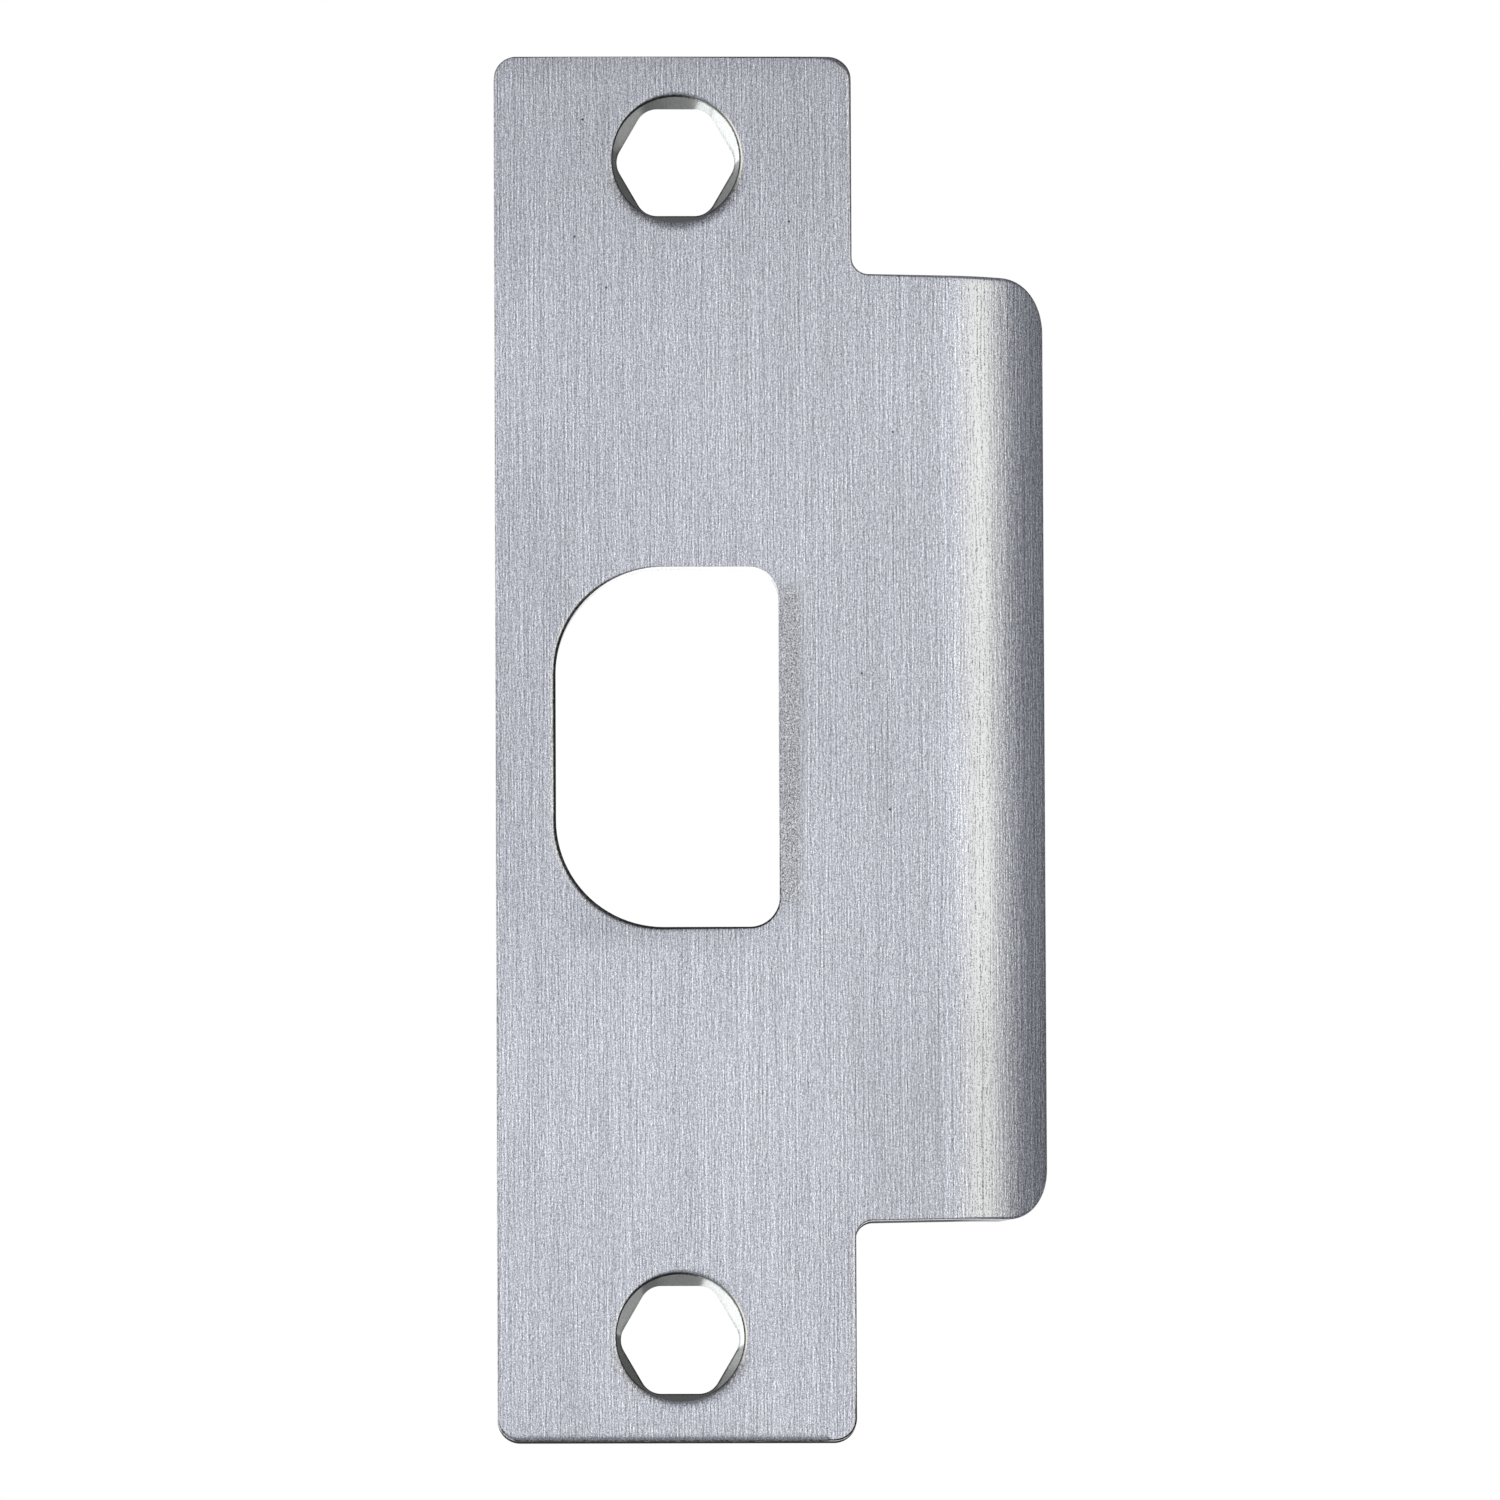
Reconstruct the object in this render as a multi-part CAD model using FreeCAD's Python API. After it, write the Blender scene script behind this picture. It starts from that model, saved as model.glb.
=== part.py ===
import FreeCAD, Part
import math
import os

# Door strike plate: one piece of stainless sheet, punched flat and then folded once.
# The plate stands as it is fitted on a door jamb: Z runs up the long side, X runs across
# the plate towards the lip, and the face that the latch meets looks along -Y.
# The origin is the middle of the two screw holes, on the back face that lies on the jamb.
# All lengths are in millimetres and all angles in degrees.

Vector = FreeCAD.Vector

# Sheet: the punch rolls the front edges over and leaves the back edges sharp
sheet_thickness = 2.4
edge_roll_r = 0.4

# Face plate: as long as its two screw holes and the metal past them need
plate_width = 31.6
plate_corner_r = 2.0

# Screw holes: a round taper with six pressed flats, so a hexagon is left in the back face
screw_spacing = 104.775
screw_to_end = 9.1625
screw_line_to_edge = 16.1
mouth_diameter = 11.35
mouth_roll_r = 0.5
flats_depth = 0.6
hexagon_across_flats = 9.5
hexagon_across_corners = 10.45

# Latch opening: large radii where the latch first meets it, small radii beside the lip
latch_width = 19.7
latch_height = 32.0
latch_to_edge = 5.3
latch_far_r = 9.5
latch_lip_r = 2.65
latch_roll_r = 0.2

# Lip: a flat tongue beside the plate, whose end is bent back round the jamb
lip_height = 84.25
lip_flat_reach = 8.5
lip_taper = 1.0
lip_bend_r = 12.0
lip_bend_angle = 46.0
lip_corner_r = 4.7
notch_r = 1.5

# Places worked out from the sizes
screw_heights = (screw_spacing / 2, -screw_spacing / 2)
plate_top = screw_spacing / 2 + screw_to_end
front_y = -sheet_thickness
edge_x = -screw_line_to_edge
shoulder_x = edge_x + plate_width
bend_x = shoulder_x + lip_flat_reach
lip_root_top = lip_height / 2
taper_slope = math.tan(math.radians(lip_taper))
bend_line_top = lip_root_top - lip_flat_reach * taper_slope
bend_centre_y = front_y + lip_bend_r
back_bend_r = lip_bend_r - sheet_thickness
latch_left = edge_x + latch_to_edge
latch_right = latch_left + latch_width
latch_top = latch_height / 2
mouth_r = mouth_diameter / 2
taper_end_r = hexagon_across_corners / 2
flats_end_r = hexagon_across_flats / 2

# A cutter runs this far past the faces it cuts, and a point this near to a face is on it
cut_margin = 1.0
touch = 0.01


def line(start, end):
    return Part.LineSegment(start, end).toShape()


def arc(start, middle, end):
    return Part.Arc(start, middle, end).toShape()


def rounded_outline(corners, y):
    """Closed wire in the plane at y through (x, z, radius) corners, each rounded by its radius."""
    points = [Vector(x, y, z) for x, z, radius in corners]
    following = points[1:] + points[:1]
    bends = []
    for index, (x, z, radius) in enumerate(corners):
        corner = points[index]
        back = (points[index - 1] - corner).normalize()
        ahead = (following[index] - corner).normalize()
        half_angle = back.getAngle(ahead) / 2
        tangent_length = radius / math.tan(half_angle)
        inward = (back + ahead).normalize()
        nearest = corner + inward * (radius / math.sin(half_angle) - radius)
        bends.append((corner + back * tangent_length, nearest, corner + ahead * tangent_length))
    edges = []
    for index, (start, nearest, end) in enumerate(bends):
        if corners[index][2] > 0:
            edges.append(arc(start, nearest, end))
        next_start = bends[(index + 1) % len(bends)][0]
        edges.append(line(end, next_start))
    return Part.Wire(edges)


def swept_back(wire, depth):
    """Solid swept from a wire towards the back of the plate."""
    return Part.Face(wire).extrude(Vector(0, depth, 0))


def flat_blank():
    """Face plate with the flat part of the lip, up to the line where the bend starts."""
    corners = [
        (edge_x, -plate_top, plate_corner_r),
        (shoulder_x, -plate_top, plate_corner_r),
        (shoulder_x, -lip_root_top, notch_r),
        (bend_x, -bend_line_top, 0),
        (bend_x, bend_line_top, 0),
        (shoulder_x, lip_root_top, notch_r),
        (shoulder_x, plate_top, plate_corner_r),
        (edge_x, plate_top, plate_corner_r),
    ]
    return swept_back(rounded_outline(corners, front_y), sheet_thickness)


def on_bend(radius, angle, z):
    """Point at a radius from the bend's axis, turned by an angle from the flat sheet."""
    turn = math.radians(angle)
    return Vector(bend_x + radius * math.sin(turn), bend_centre_y - radius * math.cos(turn), z)


def bent_lip():
    """Curved end of the lip: a sector of a ring, with tapered ends and two rounded corners."""
    foot = -bend_line_top
    half_angle = lip_bend_angle / 2
    front_start, front_middle, front_end = [
        on_bend(lip_bend_r, angle, foot) for angle in (0, half_angle, lip_bend_angle)]
    back_start, back_middle, back_end = [
        on_bend(back_bend_r, angle, foot) for angle in (0, half_angle, lip_bend_angle)]
    section = Part.Wire([
        arc(front_start, front_middle, front_end),
        line(front_end, back_end),
        arc(back_end, back_middle, back_start),
        line(back_start, front_start),
    ])
    sector = Part.Face(section).extrude(Vector(0, 0, 2 * bend_line_top))
    widest_x = bend_x + lip_bend_r
    widest_top = bend_line_top - lip_bend_r * taper_slope
    tapered = rounded_outline([
        (bend_x, -bend_line_top, 0),
        (widest_x, -widest_top, 0),
        (widest_x, widest_top, 0),
        (bend_x, bend_line_top, 0),
    ], front_y)
    lip = sector.common(swept_back(tapered, lip_bend_r))
    return lip.makeFillet(lip_corner_r, end_corners(lip))


def end_corners(lip):
    """The two edges that cross the thickness at the free end of the lip."""
    end = on_bend(lip_bend_r - sheet_thickness / 2, lip_bend_angle, 0)
    found = []
    for edge in lip.Edges:
        centre = edge.CenterOfMass
        crosses = abs(edge.Length - sheet_thickness) < touch
        if crosses and math.hypot(centre.x - end.x, centre.y - end.y) < touch:
            found.append(edge)
    return found


def latch_cutter():
    """Solid of the latch opening, running past both faces."""
    corners = [
        (latch_left, -latch_top, latch_far_r),
        (latch_right, -latch_top, latch_lip_r),
        (latch_right, latch_top, latch_lip_r),
        (latch_left, latch_top, latch_far_r),
    ]
    outline = rounded_outline(corners, front_y - cut_margin)
    return swept_back(outline, sheet_thickness + 2 * cut_margin)


def taper_r(depth):
    """Radius of a screw hole's round taper at a depth below the front face."""
    return mouth_r - (mouth_r - taper_end_r) * depth / sheet_thickness


def flats_r(depth):
    """Distance from a screw hole's axis to its flats, which leave the taper at flats_depth."""
    slope = (taper_r(flats_depth) - flats_end_r) / (sheet_thickness - flats_depth)
    return flats_end_r + slope * (sheet_thickness - depth)


def hexagon(depth, z):
    """Hexagon along a screw hole's flats at a depth, with two of its sides level."""
    corner_r = flats_r(depth) / math.cos(math.radians(30))
    turns = [math.radians(angle) for angle in range(0, 361, 60)]
    return Part.makePolygon([
        Vector(corner_r * math.cos(turn), front_y + depth, z + corner_r * math.sin(turn))
        for turn in turns])


def screw_cutter(z):
    """Round taper cut down by six flats, running past both faces."""
    first = -cut_margin
    last = sheet_thickness + cut_margin
    taper = Part.makeCone(taper_r(first), taper_r(last), last - first,
                          Vector(0, front_y + first, z), Vector(0, 1, 0))
    flats = Part.makeLoft([hexagon(first, z), hexagon(last, z)], True, True)
    return taper.common(flats)


def on_front(point):
    """True where a point lies on the flat front face or on the outside of the bend."""
    if point.x <= bend_x + touch:
        return abs(point.y - front_y) < touch
    reach = math.hypot(point.x - bend_x, point.y - bend_centre_y)
    return abs(reach - lip_bend_r) < touch


def in_screw_hole(point):
    reach = min(math.hypot(point.x, point.z - height) for height in screw_heights)
    return reach < mouth_r + touch


def in_latch_opening(point):
    beside = latch_left - touch < point.x < latch_right + touch
    return beside and abs(point.z) < latch_top + touch


def on_outline(point):
    on_bend_line = abs(point.x - bend_x) < touch and abs(point.z) < bend_line_top - touch
    return not (in_screw_hole(point) or in_latch_opening(point) or on_bend_line)


def front_edges(solid, belongs):
    """Edges that lie on the front and whose middle passes the test."""
    found = []
    for edge in solid.Edges:
        middle = edge.valueAt((edge.FirstParameter + edge.LastParameter) / 2)
        points = [middle] + [vertex.Point for vertex in edge.Vertexes]
        if all(on_front(point) for point in points) and belongs(middle):
            found.append(edge)
    return found


def strike_plate():
    """Folded blank, then the latch opening and the screw holes, each with its rolled edge."""
    body = flat_blank().fuse(bent_lip()).removeSplitter()
    body = body.makeFillet(edge_roll_r, front_edges(body, on_outline))
    body = body.cut(latch_cutter())
    body = body.makeFillet(latch_roll_r, front_edges(body, in_latch_opening))
    for height in screw_heights:
        body = body.cut(screw_cutter(height))
    body = body.makeFillet(mouth_roll_r, front_edges(body, in_screw_hole))
    return body.Solids[0]


os.makedirs("parts", exist_ok=True)
plate = strike_plate()
plate.exportStep("parts/strike_plate.step")
print("strike_plate valid:", plate.isValid(), "volume:", round(plate.Volume, 1), "mm3")
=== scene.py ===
"""Dresses the door strike plate for its studio picture.

The plate is drawn as the flat blank that the press punches out of brushed sheet, and is then
folded. A point of the blank has three blank coordinates in metres: across, towards the lip; up,
along the long side; and depth, below the brushed face. A direction has across and up too, and
its third number is front, which points out of the brushed face.
"""

import logging
import math
from dataclasses import dataclass, field
from enum import Enum

import bpy
import numpy as np
from mathutils import Matrix, Vector
from mathutils.geometry import delaunay_2d_cdt


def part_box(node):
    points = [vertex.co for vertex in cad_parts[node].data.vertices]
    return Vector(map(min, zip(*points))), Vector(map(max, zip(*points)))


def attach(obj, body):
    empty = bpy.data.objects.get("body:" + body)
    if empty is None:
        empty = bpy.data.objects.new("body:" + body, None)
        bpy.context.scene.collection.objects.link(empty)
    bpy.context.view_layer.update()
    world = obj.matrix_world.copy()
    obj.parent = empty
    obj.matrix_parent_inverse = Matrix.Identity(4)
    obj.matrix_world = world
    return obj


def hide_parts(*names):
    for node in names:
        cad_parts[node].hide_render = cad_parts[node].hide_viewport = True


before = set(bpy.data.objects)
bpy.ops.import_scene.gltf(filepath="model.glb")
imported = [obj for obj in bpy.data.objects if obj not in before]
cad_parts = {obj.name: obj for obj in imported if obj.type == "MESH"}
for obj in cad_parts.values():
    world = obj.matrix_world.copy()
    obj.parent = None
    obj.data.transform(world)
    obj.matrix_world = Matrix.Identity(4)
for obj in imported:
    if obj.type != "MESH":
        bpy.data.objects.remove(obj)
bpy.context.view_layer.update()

MM = 0.001
NODE = "strike_plate"
PLACE = "blank_place"
UPRIGHT = math.pi / 2
# Half the angle that one flat of a screw hole's hexagon spans.
HALF_FLAT = math.radians(30)
# Clock angle straight below a screw hole's axis.
BELOW = -90.0

log = logging.getLogger("strike_plate")

Colour = tuple[float, float, float]
Scale = tuple[float, float, float]
# Where a strip starts, is full, starts to fade and ends, in millimetres.
Band = tuple[float, float, float, float]


class Side(Enum):
    """Side of the sheet that a patch of skin lies on."""

    BRUSHED = 1.0
    BACK = -1.0


class Finish(Enum):
    """Finish, or painted shade, whose share at each point is kept as an attribute of the mesh."""

    CUT = "cut_share"
    TORN = "torn_share"
    PRESSED = "pressed_share"
    DARK = "painted_shade_share"


@dataclass
class Patch:
    """Part of the plate's skin on the blank.

    Attributes:
        place: (n, 3) points as across, up and depth.
        facing: (n, 3) outward directions as across, up and front.
        shares: (n, 4) shares of the finishes at each point, 0 to 1, in the order of Finish.
        faces: (m, 3) numbers of the points of each triangle.
    """

    place: np.ndarray
    facing: np.ndarray
    shares: np.ndarray
    faces: np.ndarray


@dataclass(frozen=True)
class Sheet:
    """Sheet metal of the plate and the one fold that shapes it.

    Attributes:
        front: Y of the brushed face where it is flat.
        thickness: thickness of the sheet.
        bend_line: across of the line where the fold starts.
        bend_radius: radius of the fold's brushed face.
        bend_angle: angle that the fold turns through, in radians.
    """

    front: float
    thickness: float
    bend_line: float
    bend_radius: float
    bend_angle: float

    @property
    def end(self) -> float:
        """Across of the lip's free end, measured along the brushed face."""
        return self.bend_line + self.bend_radius * self.bend_angle

    def turned(self, across: np.ndarray) -> np.ndarray:
        """Angle of the sheet at a place: nothing up to the bend line, then arc over radius."""
        return np.maximum(across - self.bend_line, 0.0) / self.bend_radius

    def folded_points(self, place: np.ndarray) -> np.ndarray:
        """Carries blank points through the fold.

        Past the bend line a point goes round the fold's axis: x is the bend line plus the
        reach times the sine of the turn, and y falls short of the axis by the reach times its
        cosine, where the reach is the bend radius less the depth.

        Args:
            place: (n, 3) blank points.

        Returns:
            (n, 3) points in the row frame.
        """
        across, up, depth = place.T
        turn = self.turned(across)
        reach = self.bend_radius - depth
        x = np.minimum(across, self.bend_line) + reach * np.sin(turn)
        y = self.front + self.bend_radius - reach * np.cos(turn)
        return np.stack([x, y, up], axis=1)

    def folded_directions(self, place: np.ndarray, facing: np.ndarray) -> np.ndarray:
        """Turns blank directions with the sheet that they stand on.

        Args:
            place: (n, 3) blank points.
            facing: (n, 3) directions at those points.

        Returns:
            (n, 3) unit directions in the row frame.
        """
        turn = self.turned(place[:, 0])
        along, up, front = facing.T
        x = along * np.cos(turn) + front * np.sin(turn)
        y = along * np.sin(turn) - front * np.cos(turn)
        world = np.stack([x, y, up], axis=1)
        return world / np.linalg.norm(world, axis=1, keepdims=True)


@dataclass(frozen=True)
class Corner:
    """Corner of an outline on the blank, how the punch left the edge at its middle, and the painted
    shade line along it.

    Attributes:
        across: across of the sharp corner.
        up: up of the sharp corner.
        radius: radius that rounds it, or 0 for a bare point.
        roll: radius of the edge's rolled corner, in millimetres.
        line: how dark the painted shade line down the roll is, 0 to 1.
        torn: share of the wall that is torn and dark, 0 to 1.
        begin: tilt of the roll where its painted shade line starts, in degrees.
        ramp: how much further the roll tilts before the line is darkest, in degrees.
        pieces: number of equal pieces that the straight run after it is drawn in.
    """

    across: float
    up: float
    radius: float
    roll: float
    line: float = 0.0
    torn: float = 0.0
    begin: float = 12.0
    ramp: float = 15.0
    pieces: int = 1

    @property
    def state(self) -> tuple[float, float, float, float, float]:
        """Numbers of the edge's state."""
        return self.roll, self.line, self.torn, self.begin, self.ramp


@dataclass
class Outline:
    """Closed line on the blank, anticlockwise, with the direction away from the metal.

    Attributes:
        points: (n, 2) points as across and up.
        outward: (n, 2) unit directions that point out of the metal.
        states: (n, 5) numbers of the edge's state at each point.
    """

    points: np.ndarray
    outward: np.ndarray
    states: np.ndarray

    @classmethod
    def rounded(cls, corners: list[Corner], step: float, hole: bool = False) -> "Outline":
        """Draws a polygon with rounded corners.

        Each corner is an arc about the point that lies one radius inside both of its sides. A
        straight run is cut into equal pieces where its corner asks for that. The edge's state
        changes evenly with the way along the line from one corner to the next.

        Args:
            corners: the sharp corners, anticlockwise.
            step: largest turn between two points of an arc, in radians.
            hole: True where the metal lies outside the line.

        Returns:
            The outline.
        """
        sharp = np.array([[corner.across, corner.up] for corner in corners])
        runs = np.roll(sharp, -1, axis=0) - sharp
        runs /= np.linalg.norm(runs, axis=1, keepdims=True)
        normals = np.stack([runs[:, 1], -runs[:, 0]], axis=1)
        arcs, facings = [], []
        earlier = np.roll(normals, 1, axis=0)
        for corner, point, before, after in zip(corners, sharp, earlier, normals):
            bend = math.atan2(before[0] * after[1] - before[1] * after[0], before @ after)
            steps = max(1, math.ceil(abs(bend) / step)) if corner.radius else 0
            share = np.linspace(0.0, 1.0, steps + 1) if steps else np.array([0.5])
            angles = math.atan2(before[1], before[0]) + share * bend
            facing = np.stack([np.cos(angles), np.sin(angles)], axis=1)
            radius = math.copysign(corner.radius, bend)
            centre = point - (before + after) * radius / (1 + before @ after)
            arcs.append(centre + radius * facing)
            facings.append(facing)
        lines, outward, middles, count = [], [], [], 0
        for index, corner in enumerate(corners):
            start, finish = arcs[index][-1], arcs[(index + 1) % len(corners)][0]
            share = np.arange(1, corner.pieces)[:, None] / corner.pieces
            lines += [arcs[index], start + share * (finish - start)]
            outward += [facings[index], np.repeat(normals[index][None], len(share), axis=0)]
            middles.append(count + len(arcs[index]) // 2)
            count += len(arcs[index]) + len(share)
        points = np.concatenate(lines)
        steps = np.linalg.norm(np.roll(points, -1, axis=0) - points, axis=1)
        way = np.cumsum(steps) - steps
        states = np.stack([
            np.interp(way, way[middles], number, period=steps.sum())
            for number in zip(*(corner.state for corner in corners))], axis=1)
        sign = -1.0 if hole else 1.0
        return cls(points, sign * np.concatenate(outward), states)


@dataclass
class Profile:
    """Section through an edge of the sheet at each point of an outline, from front to back.

    Attributes:
        inset: (rows, n) distances into the metal from the edge's wall.
        depth: (rows, n) depths below the brushed face.
        tilt: (rows, n) angles of the surface from the brushed face, in radians.
        shares: (rows, n) share of each finish.
    """

    inset: np.ndarray
    depth: np.ndarray
    tilt: np.ndarray
    shares: dict[Finish, np.ndarray]


@dataclass(frozen=True)
class PunchedEdge:
    """Edge that the punch leaves: a slight droop, a rolled corner, a wall and a back corner.

    Attributes:
        droop_width: width of the strip beside the roll that the punch pulled down.
        droop_share: how far that strip sinks before it meets the roll, over the roll's radius.
        seam: depth that the line reaches down the wall.
        back_break: radius of the back corner.
        back_margin: width of the strip of back face that the profile ends with.
        cut: tilts of the roll at which its bright cut surface starts and is full, in degrees.
        front_rows: rows of points across the droop and round the roll.
        wall_rows: rows down the wall.
        back_rows: rows round the back corner.
    """

    droop_width: float = 0.35 * MM
    droop_share: float = 0.05
    seam: float = 0.03 * MM
    back_break: float = 0.07 * MM
    back_margin: float = 0.3 * MM
    cut: tuple[float, float] = (40.0, 85.0)
    front_rows: tuple[int, int] = (4, 13)
    wall_rows: int = 4
    back_rows: int = 3

    def profile(self, thickness: float, states: np.ndarray) -> Profile:
        """Works out the section.

        The droop and the roll end upright. The wall below them is straight, and the back corner
        is an arc, with inset r (1 - sin tilt) and a depth that changes with r cos tilt.

        Args:
            thickness: thickness of the sheet.
            states: (n, 5) numbers of the edge's state at each point of the outline.

        Returns:
            The profile.
        """
        roll, line, torn, begin, ramp = states.T
        flat = 0 * roll[None]
        inset, depth, tilt = rolled(
            roll * MM, self.droop_share * roll * MM, self.droop_width, UPRIGHT, self.front_rows)
        wall = np.linspace(depth[-1] + self.seam, thickness - self.back_break, self.wall_rows)
        back_tilt = np.linspace(UPRIGHT, math.pi, self.back_rows + 1)[1:, None] + flat
        back_inset = self.back_break * (1 - np.sin(back_tilt))
        back_depth = thickness - self.back_break * (1 + np.cos(back_tilt))
        inset = [inset, 0 * wall, back_inset, self.back_break + self.back_margin + flat]
        depth = [depth, wall, back_depth, thickness + flat]
        turned = np.concatenate([tilt, 0 * wall + UPRIGHT, back_tilt, math.pi + flat])
        walled = np.zeros_like(turned)
        walled[len(tilt):len(tilt) + len(wall)] = 1.0
        past_wall = turned > UPRIGHT + 0.01
        shares = {
            Finish.CUT: smooth(turned, *np.radians(self.cut)),
            Finish.TORN: torn * (walled + past_wall),
            # The dark line down the roll is painted shade.
            Finish.DARK: line * smooth(turned - np.radians(begin), 0.0, np.radians(ramp))
            * (1 - walled),
        }
        for finish_share in shares.values():
            finish_share[-1] = 0.0
        return Profile(np.concatenate(inset), np.concatenate(depth), turned, shares)


def smooth(value: np.ndarray, low: float, high: float) -> np.ndarray:
    """Share that rises from 0 at low to 1 at high, as 3 t squared less 2 t cubed.

    Args:
        value: numbers to compare.
        low: number at which the share leaves 0.
        high: number at which it reaches 1.

    Returns:
        The shares.
    """
    share = np.clip((value - low) / (high - low), 0.0, 1.0)
    return share * share * (3 - 2 * share)


def rolled(roll: np.ndarray, droop: np.ndarray, width: float, last: float,
           rows: tuple[int, int]) -> tuple[np.ndarray, np.ndarray, np.ndarray]:
    """Drooped strip and the rolled corner that it meets.

    The strip sinks with the square of the way across it. The roll is an arc that starts with
    the strip's tilt. It lies r (sin last - sin tilt) from its own end, and its depth changes
    with r cos tilt.

    Args:
        roll: (n,) radii of the roll.
        droop: (n,) depths that the strip sinks.
        width: width of the strip.
        last: tilt that the roll ends with.
        rows: rows of points across the strip and round the roll.

    Returns:
        Distance from the roll's end, depth and tilt of each row.
    """
    share = np.linspace(0.0, 1.0, rows[0])[:, None]
    lean = np.arctan(2 * droop * share / width)
    tilt = lean[-1] + np.linspace(0.0, 1.0, rows[1])[:, None] * (last - lean[-1])
    inset = roll * (math.sin(last) - np.sin(tilt))
    depth = droop + roll * (np.cos(lean[-1]) - np.cos(tilt))
    return (np.concatenate([inset[0] + width * (1 - share[:-1]), inset]),
            np.concatenate([droop * share[:-1] ** 2, depth]),
            np.concatenate([lean[:-1], tilt]))


def grid_patch(place: np.ndarray, facing: np.ndarray, shares: dict[Finish, np.ndarray],
               closed: bool = True) -> Patch:
    """Patch from arrays whose first two lengths are a grid's rows and columns.

    The points are numbered row by row, and each cell of the grid makes two triangles.

    Args:
        place: (rows, columns, 3) blank points.
        facing: (rows, columns, 3) blank directions.
        shares: share of each finish that the patch has, as (rows, columns) or (rows, 1).
        closed: True where the last column joins the first.

    Returns:
        The patch.
    """
    rows, columns = place.shape[:2]
    wide = columns if closed else columns - 1
    row, column = np.meshgrid(np.arange(rows - 1), np.arange(wide), indexing="ij")
    near = row * columns + column
    far = row * columns + (column + 1) % columns
    cells = np.stack([near, far, far + columns, near, far + columns, near + columns], axis=-1)
    every = [np.broadcast_to(shares.get(finish, 0.0), (rows, columns)) for finish in Finish]
    return Patch(place.reshape(-1, 3), facing.reshape(-1, 3),
                 np.stack(every, axis=-1).reshape(-1, len(Finish)), cells.reshape(-1, 3))


def inside(points: np.ndarray, ring: np.ndarray) -> np.ndarray:
    """True for points inside a closed ring, by counting the sides crossed on the way across.

    Args:
        points: (n, 2) points.
        ring: (k, 2) corners of the ring.

    Returns:
        (n,) booleans.
    """
    start, finish = ring[None], np.roll(ring, -1, axis=0)[None]
    across, up = points[:, None, 0], points[:, None, 1]
    spans = (start[..., 1] > up) != (finish[..., 1] > up)
    rise = np.where(spans, finish[..., 1] - start[..., 1], 1.0)
    crossing = start[..., 0] + (up - start[..., 1]) * (finish[..., 0] - start[..., 0]) / rise
    return (spans & (across < crossing)).sum(axis=1) % 2 == 1


def flat_patch(outer: np.ndarray, holes: list[np.ndarray], depth: float, side: Side) -> Patch:
    """Flat skin between an outer ring and the rings of the holes.

    The rings' points are joined by a constrained triangulation, and the triangles whose
    centres lie in a hole or outside are dropped.

    Args:
        outer: (n, 2) ring round the skin.
        holes: rings round the holes.
        depth: depth of the skin below the brushed face.
        side: side of the sheet that it lies on.

    Returns:
        The patch.
    """
    rings = [outer, *holes]
    points = np.concatenate(rings) / MM
    starts = np.cumsum([0] + [len(ring) for ring in rings])
    sides = np.concatenate([
        np.stack([np.arange(len(ring)), np.roll(np.arange(len(ring)), -1)], axis=1) + start
        for ring, start in zip(rings, starts)])
    _, _, faces, origins, _, _ = delaunay_2d_cdt(
        [Vector(point) for point in points], sides.tolist(), [], 0, 1e-6)
    source = np.array([origin[0] for origin in origins])
    faces = source[np.array(faces)]
    centres = points[faces].mean(axis=1)
    kept = inside(centres, outer / MM)
    for hole in holes:
        kept &= ~inside(centres, hole / MM)
    place = np.column_stack([points * MM, np.full(len(points), depth)])
    facing = np.tile([0.0, 0.0, side.value], (len(points), 1))
    return Patch(place, facing, np.zeros((len(points), len(Finish))), faces[kept])


@dataclass
class Skin:
    """Skin of the plate: patches on the blank, to be welded and folded into one closed mesh.

    Attributes:
        sheet: sheet metal whose fold the mesh follows.
        patches: parts of the skin.
    """

    sheet: Sheet
    patches: list[Patch] = field(default_factory=list)

    def mesh(self, name: str) -> bpy.types.Mesh:
        """Welds the patches where they meet and folds them.

        Each corner of a triangle keeps the direction of its own patch, so that creases stay
        crisp and flat faces stay flat.

        Args:
            name: name of the mesh.

        Returns:
            The mesh, with its blank places and finishes as attributes.
        """
        starts = np.cumsum([0] + [len(patch.place) for patch in self.patches])
        faces = np.concatenate([
            patch.faces + start for patch, start in zip(self.patches, starts)])
        place = np.concatenate([patch.place for patch in self.patches])
        facing = np.concatenate([patch.facing for patch in self.patches])
        shares = np.concatenate([patch.shares for patch in self.patches])
        _, first, weld = np.unique(
            np.round(place / MM, 5), axis=0, return_index=True, return_inverse=True)
        weld = weld.ravel()
        welded = weld[faces]
        whole = (welded != np.roll(welded, 1, axis=1)).all(axis=1)
        faces, welded = faces[whole], welded[whole]
        world = self.sheet.folded_points(place)
        directions = self.sheet.folded_directions(place, facing)
        corners = world[faces]
        turned = np.cross(corners[:, 1] - corners[:, 0], corners[:, 2] - corners[:, 0])
        inward = (turned * directions[faces].sum(axis=1)).sum(axis=1) < 0
        faces[inward] = faces[inward][:, ::-1]
        welded[inward] = welded[inward][:, ::-1]

        mesh = bpy.data.meshes.new(name)
        mesh.from_pydata(world[first].tolist(), [], welded.tolist())
        mesh.polygons.foreach_set("use_smooth", np.ones(len(welded), bool))
        mesh.normals_split_custom_set(directions[faces].reshape(-1, 3).tolist())
        own = mesh.attributes.new(PLACE, "FLOAT_VECTOR", "POINT")
        own.data.foreach_set("vector", place[first].astype(np.float32).ravel())
        for finish, share in zip(Finish, shares[first].T):
            own = mesh.attributes.new(finish.value, "FLOAT", "POINT")
            own.data.foreach_set("value", np.ascontiguousarray(share, np.float32))
        mesh.update()
        return mesh


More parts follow.
